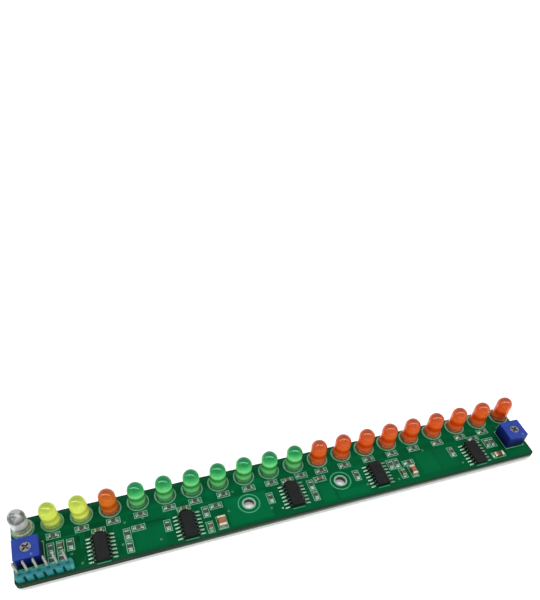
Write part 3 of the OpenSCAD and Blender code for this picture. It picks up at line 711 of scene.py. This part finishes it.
def lens(i, n=72):
    prof = lens_profile()
    v, f = [], []
    v.append((0.0, 0.0, prof[0][1]))
    for r, z in prof[1:-1]:
        for k in range(n):
            a = 2 * math.pi * k / n
            x, y = r * math.cos(a), r * math.sin(a)
            if r > LENS_R and x < -LENS_R:
                x = -LENS_R
            v.append((x, y, z))
    v.append((0.0, 0.0, prof[-1][1]))
    m = len(prof) - 2
    for k in range(n):
        f.append((0, 1 + (k + 1) % n, 1 + k))
        f.append((len(v) - 1, 1 + (m - 1) * n + k, 1 + (m - 1) * n + (k + 1) % n))
    for j in range(m - 1):
        for k in range(n):
            k2 = (k + 1) % n
            f.append((1 + j * n + k, 1 + j * n + k2, 1 + (j + 1) * n + k2, 1 + (j + 1) * n + k))
    name = "lamp_%02d" % (i + 1)
    me = bpy.data.meshes.new(name)
    cx, cy = lamp_x(i) - LENGTH / 2, ROW_Y - WIDTH / 2
    me.from_pydata([((x + cx) * MM, (y + cy) * MM, (z + TOP) * MM) for x, y, z in v], [], f)
    me.update()
    me.materials.append(LENS[LENS_KIND[i]])
    me.shade_smooth()
    me.set_sharp_from_angle(angle=math.radians(40))
    o = bpy.data.objects.new(name, me)
    bpy.context.scene.collection.objects.link(o)
    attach(o, ROOT)
    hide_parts("lamp_lens_%02d" % (i + 1))
    return o


for i in range(20):
    lens(i)
keep("lamp_anode_leads", WIRE)
keep("lamp_cathode_leads", WIRE)

# ---------------------------------------------------------------- board, copper and print
keep("circuit_board", MASK)
keep("mounting_hole_plating", hole_plating())
keep("lead_solder", SOLDER)

Z = TOP
margin = Build()


def rounded(inset, radius):
    """Plan outline of the board, drawn in by inset, with round corners."""
    pts = []
    for x, y, a0 in ((LENGTH - inset - radius, WIDTH - inset - radius, 0), (inset + radius, WIDTH - inset - radius, 90),
                     (inset + radius, inset + radius, 180), (LENGTH - inset - radius, inset + radius, 270)):
        for a in range(0, 91, 10):
            t = math.radians(a0 + a)
            pts.append((x + radius * math.cos(t), y + radius * math.sin(t)))
    return pts


margin.band(rounded(0.03, 1.27), rounded(0.62, 0.68), Z - 0.01, Z + 0.006)
margin.piece("margin_without_copper", GAP)

print_ = Build()
INK0, INK1 = Z - 0.01, Z + 0.035
FAR = LENGTH - 0.04
for i in range(20):
    x = lamp_x(i)
    print_.ring(x, ROW_Y, 3.29, 2.95, INK0, INK1, 72, FAR)
    c = 1.42
    print_.line([(x - 2.8, ROW_Y - c), (x - 2.8, ROW_Y + c)], 0.2, INK0, INK1 + 0.006)
for i in range(20):
    print_.frame(lamp_x(i) + STEPS[i], STEP_Y, 4.0, 2.1, 0, 0.2, INK0, INK1 + 0.012)
for k, (x, y, t) in enumerate(RESISTORS + CAPACITORS):
    if k in (1, 2):  # the header's strip covers the front end of these two
        print_.line([(x - 0.95, 3.34), (x - 0.95, y + 1.9), (x + 0.95, y + 1.9), (x + 0.95, 3.34)], 0.2, INK0, INK1 + 0.018)
    else:
        print_.frame(x, y, 4.0, 2.1, t, 0.2, INK0, INK1 + 0.018 + 0.004 * (k % 3))
for x, y, t, l, w, h in BULK:
    print_.frame(x, y, l + 1.5, w + 0.75, t, 0.2, INK0, INK1)
thin = Build()
for x, y in CHIPS:
    thin.line([(x - 1.9, y - 4.72), (x + 1.9, y - 4.72)], 0.3, INK0, INK1)
for x, y in HOLES:
    thin.ring(x, y, 3.42, 3.04, INK0, INK1, 72)
thin.piece("printed_outlines_thin", INK_THIN)
print_.disc(77.05, 3.35, 0.34, INK0, INK1)
print_.line([(46.33, 13.27), (46.71, 10.26)], 0.22, INK0, INK1)
print_.frame(4.55, 8.4, 7.9, 7.6, 0, 0.2, INK0, INK1)
print_.frame(159.75, 8.02, 7.0, 7.8, 0, 0.2, INK0, INK1)
print_.piece("printed_outlines", INK)

vias = Build()
for x, y in VIAS:
    vias.ring(x, y, 0.38, 0.12, Z - 0.01, Z + 0.028, 24)
vias.piece("vias", VIA)

# Tracks under the mask: from the chips to the lamps' resistors, and between chip parts
tracks = Build()
T0, T1 = Z - 0.008, Z + 0.012


def track(*pts):
    tracks.line(list(pts), 0.28, T0, T1)


for k, (x, y) in enumerate(CHIPS):
    for j, reach in ((3, 12.1), (2, 11.75), (1, 11.4)):
        for side in (-1, 1):
            i = min(19, max(0, int(round((x - FIRST_X) / PITCH)) + (side * (4 - j) + (1 if side < 0 else 0)) // 2))
            end = lamp_x(i) + STEPS[i] + side * 1.0
            out = x + side * (4.25 + 0.5 * (3 - j))
            if abs(end - out) < 0.8:
                end = out + side * 0.8
            track((x + side * 3.6, y + 1.27 * j), (out - side * 0.3, y + 1.27 * j), (out, y + 1.27 * j + 0.3),
                  (out, reach - 0.3), (out + (0.3 if end > out else -0.3), reach), (end, reach), (end, 12.6))
for x, y in VIAS[:11]:
    track((x, y), (x + 0.9, y + 0.9), (x + 0.9, y + 2.3))
tracks.piece("tracks", TRACK)

# ---------------------------------------------------------------- chips
for k in range(1, 6):
    soften("chip_body_%d" % k, CHIP, 0.05, 2, 25)
    soften("chip_leads_%d" % k, LEAD, 0.03, 1, 25)
soften("chip_solder", CHIP_TIN, 0.02, 1, 25)

# ---------------------------------------------------------------- chip parts
soften("resistor_bodies", BLOCK, 0.03, 2)
soften("resistor_ends", TIN, 0.05, 2)
soften("capacitor_bodies", TAN, 0.05, 2)
soften("capacitor_ends", CAP_END, 0.07, 2)
soften("bulk_capacitor_bodies", BROWN, 0.06, 2)
soften("bulk_capacitor_ends", CREAM, 0.09, 2)
soften("chip_part_solder", SOLDER, 0.03, 1)
soften("bulk_capacitor_solder", SOLDER, 0.03, 1)

# ---------------------------------------------------------------- trimmers
for side in ("left", "right"):
    soften(side + "_trimmer_housing", BLUE, 0.12, 3)
    keep(side + "_trimmer_base", POTTING)
    keep(side + "_trimmer_pins", WIRE)
    soften(side + "_trimmer_rotor", ROTOR, 0.05, 2)

# raised dots on the trimmer tops, painted pale as a highlight
marks = Build()
for x, y in ((5.9, 6.0), (161.4, 5.45)):
    marks.dome(x, y, 0.4, TOP + 4.885, 0.05, 24, 3)
marks.piece("raised_dots", GLINT_DOT, 40)

# ---------------------------------------------------------------- header
soften("header_strip", TEAL, 0.08, 2)
soften("header_pins", PIN, 0.05, 2)

# ---------------------------------------------------------------- floor, light, camera
floor = bpy.data.meshes.new("floor")
S = 20.0
floor.from_pydata([(-S, -S, 0), (S, -S, 0), (S, S, 0), (-S, S, 0)], [], [(0, 1, 2, 3)])
floor.update()
fo = bpy.data.objects.new("floor", floor)
bpy.context.scene.collection.objects.link(fo)
# A light table: the floor glows a little, so that it stays pale under the board's edge too.
paper = Shader("pale_floor", Specular_IOR_Level=0.05, Roughness=0.9, Emission_Strength=0.26)
paper.b.inputs["Emission Color"].default_value = (1.0, 1.0, 1.0, 1.0)
paper.to(paper.ramp(paper.noise(900, 2), [(0.3, lin(224, 224, 224, 1.0)), (0.7, lin(227, 227, 227, 1.0))]), "Base Color")
floor.materials.append(paper.m)

# A pale room: bright round the horizon, dimmer above, so that polished metal has something to show.
world = bpy.data.worlds.new("studio")
bpy.context.scene.world = world
world.use_nodes = True
wt = world.node_tree
height = wt.nodes.new("ShaderNodeSeparateXYZ")
wt.links.new(wt.nodes.new("ShaderNodeTexCoord").outputs["Generated"], height.inputs[0])
room = wt.nodes.new("ShaderNodeValToRGB")
while len(room.color_ramp.elements) > 1:
    room.color_ramp.elements.remove(room.color_ramp.elements[-1])
room.color_ramp.elements[0].position, room.color_ramp.elements[0].color = 0.0, (0.9, 0.91, 0.92, 1.0)
for p, v in ((0.12, 0.88), (0.34, 0.72), (0.6, 0.62), (1.0, 0.62)):
    room.color_ramp.elements.new(p).color = (v * 0.97, v * 0.985, v, 1.0)
wt.links.new(height.outputs[2], room.inputs["Fac"])
wt.links.new(room.outputs["Color"], wt.nodes["Background"].inputs["Color"])
wt.nodes["Background"].inputs["Strength"].default_value = EXPOSE


def area(name, at, look, along, size, size_y, watts, glints=True, shade=True):
    """A rectangular light whose length runs as near as it can to the direction given."""
    l = bpy.data.lights.new(name, "AREA")
    l.shape = "RECTANGLE"
    l.size, l.size_y, l.energy = size, size_y, watts * EXPOSE
    o = bpy.data.objects.new(name, l)
    bpy.context.scene.collection.objects.link(o)
    o.location = at
    back = (Vector(at) - Vector(look)).normalized()
    side = (Vector(along) - back * back.dot(Vector(along))).normalized()
    o.rotation_euler = Matrix((side, back.cross(side), back)).transposed().to_euler()
    o.visible_camera = False
    o.visible_glossy = glints
    o.visible_diffuse = shade
    return o


area("overhead", (0.0, 0.24, 7.2), (0, 0, 0), (1, 0, 0), 13.2, 1.56, 430, glints=False)
area("softbox", (-0.48, -0.2, 7.2), (0, 0, 0), (0.947, -0.315, 0.0), 30.0, 2.0, 1150, shade=False)
area("front_fill", (-0.84, -5.0, 2.1), (0, 0, 0), (1, 0, 0), 5.6, 2.1, 120, glints=False)

# The photograph shows the board low in its frame with the eye high above the middle of the frame, so the lens is
# shifted as in the photograph.
cam = bpy.data.cameras.new("camera")
cam.lens = 579.24647 / 600 * 36
cam.sensor_width = 36
cam.sensor_fit = "AUTO"
cam.shift_y = 160 / 600
cam.clip_start, cam.clip_end = 0.01, 30
co = bpy.data.objects.new("camera", cam)
bpy.context.scene.collection.objects.link(co)
R = ((0.9474118216223779, -0.3152785659723861, 0.05486589185061362),
     (-0.22015521977306163, -0.7665493051818484, -0.6032692947033685),
     (0.2322552894055212, 0.5594654489453487, -0.7956480955670895))
right, down, ahead = (Vector(r) for r in R)
m = Matrix((right, -down, -ahead)).transposed().to_4x4()
m.translation = Vector((-0.04622216876, -0.09244259686, 0.15012498134))
co.matrix_world = m
bpy.context.scene.camera = co
bpy.context.scene.view_settings.view_transform = "Standard"
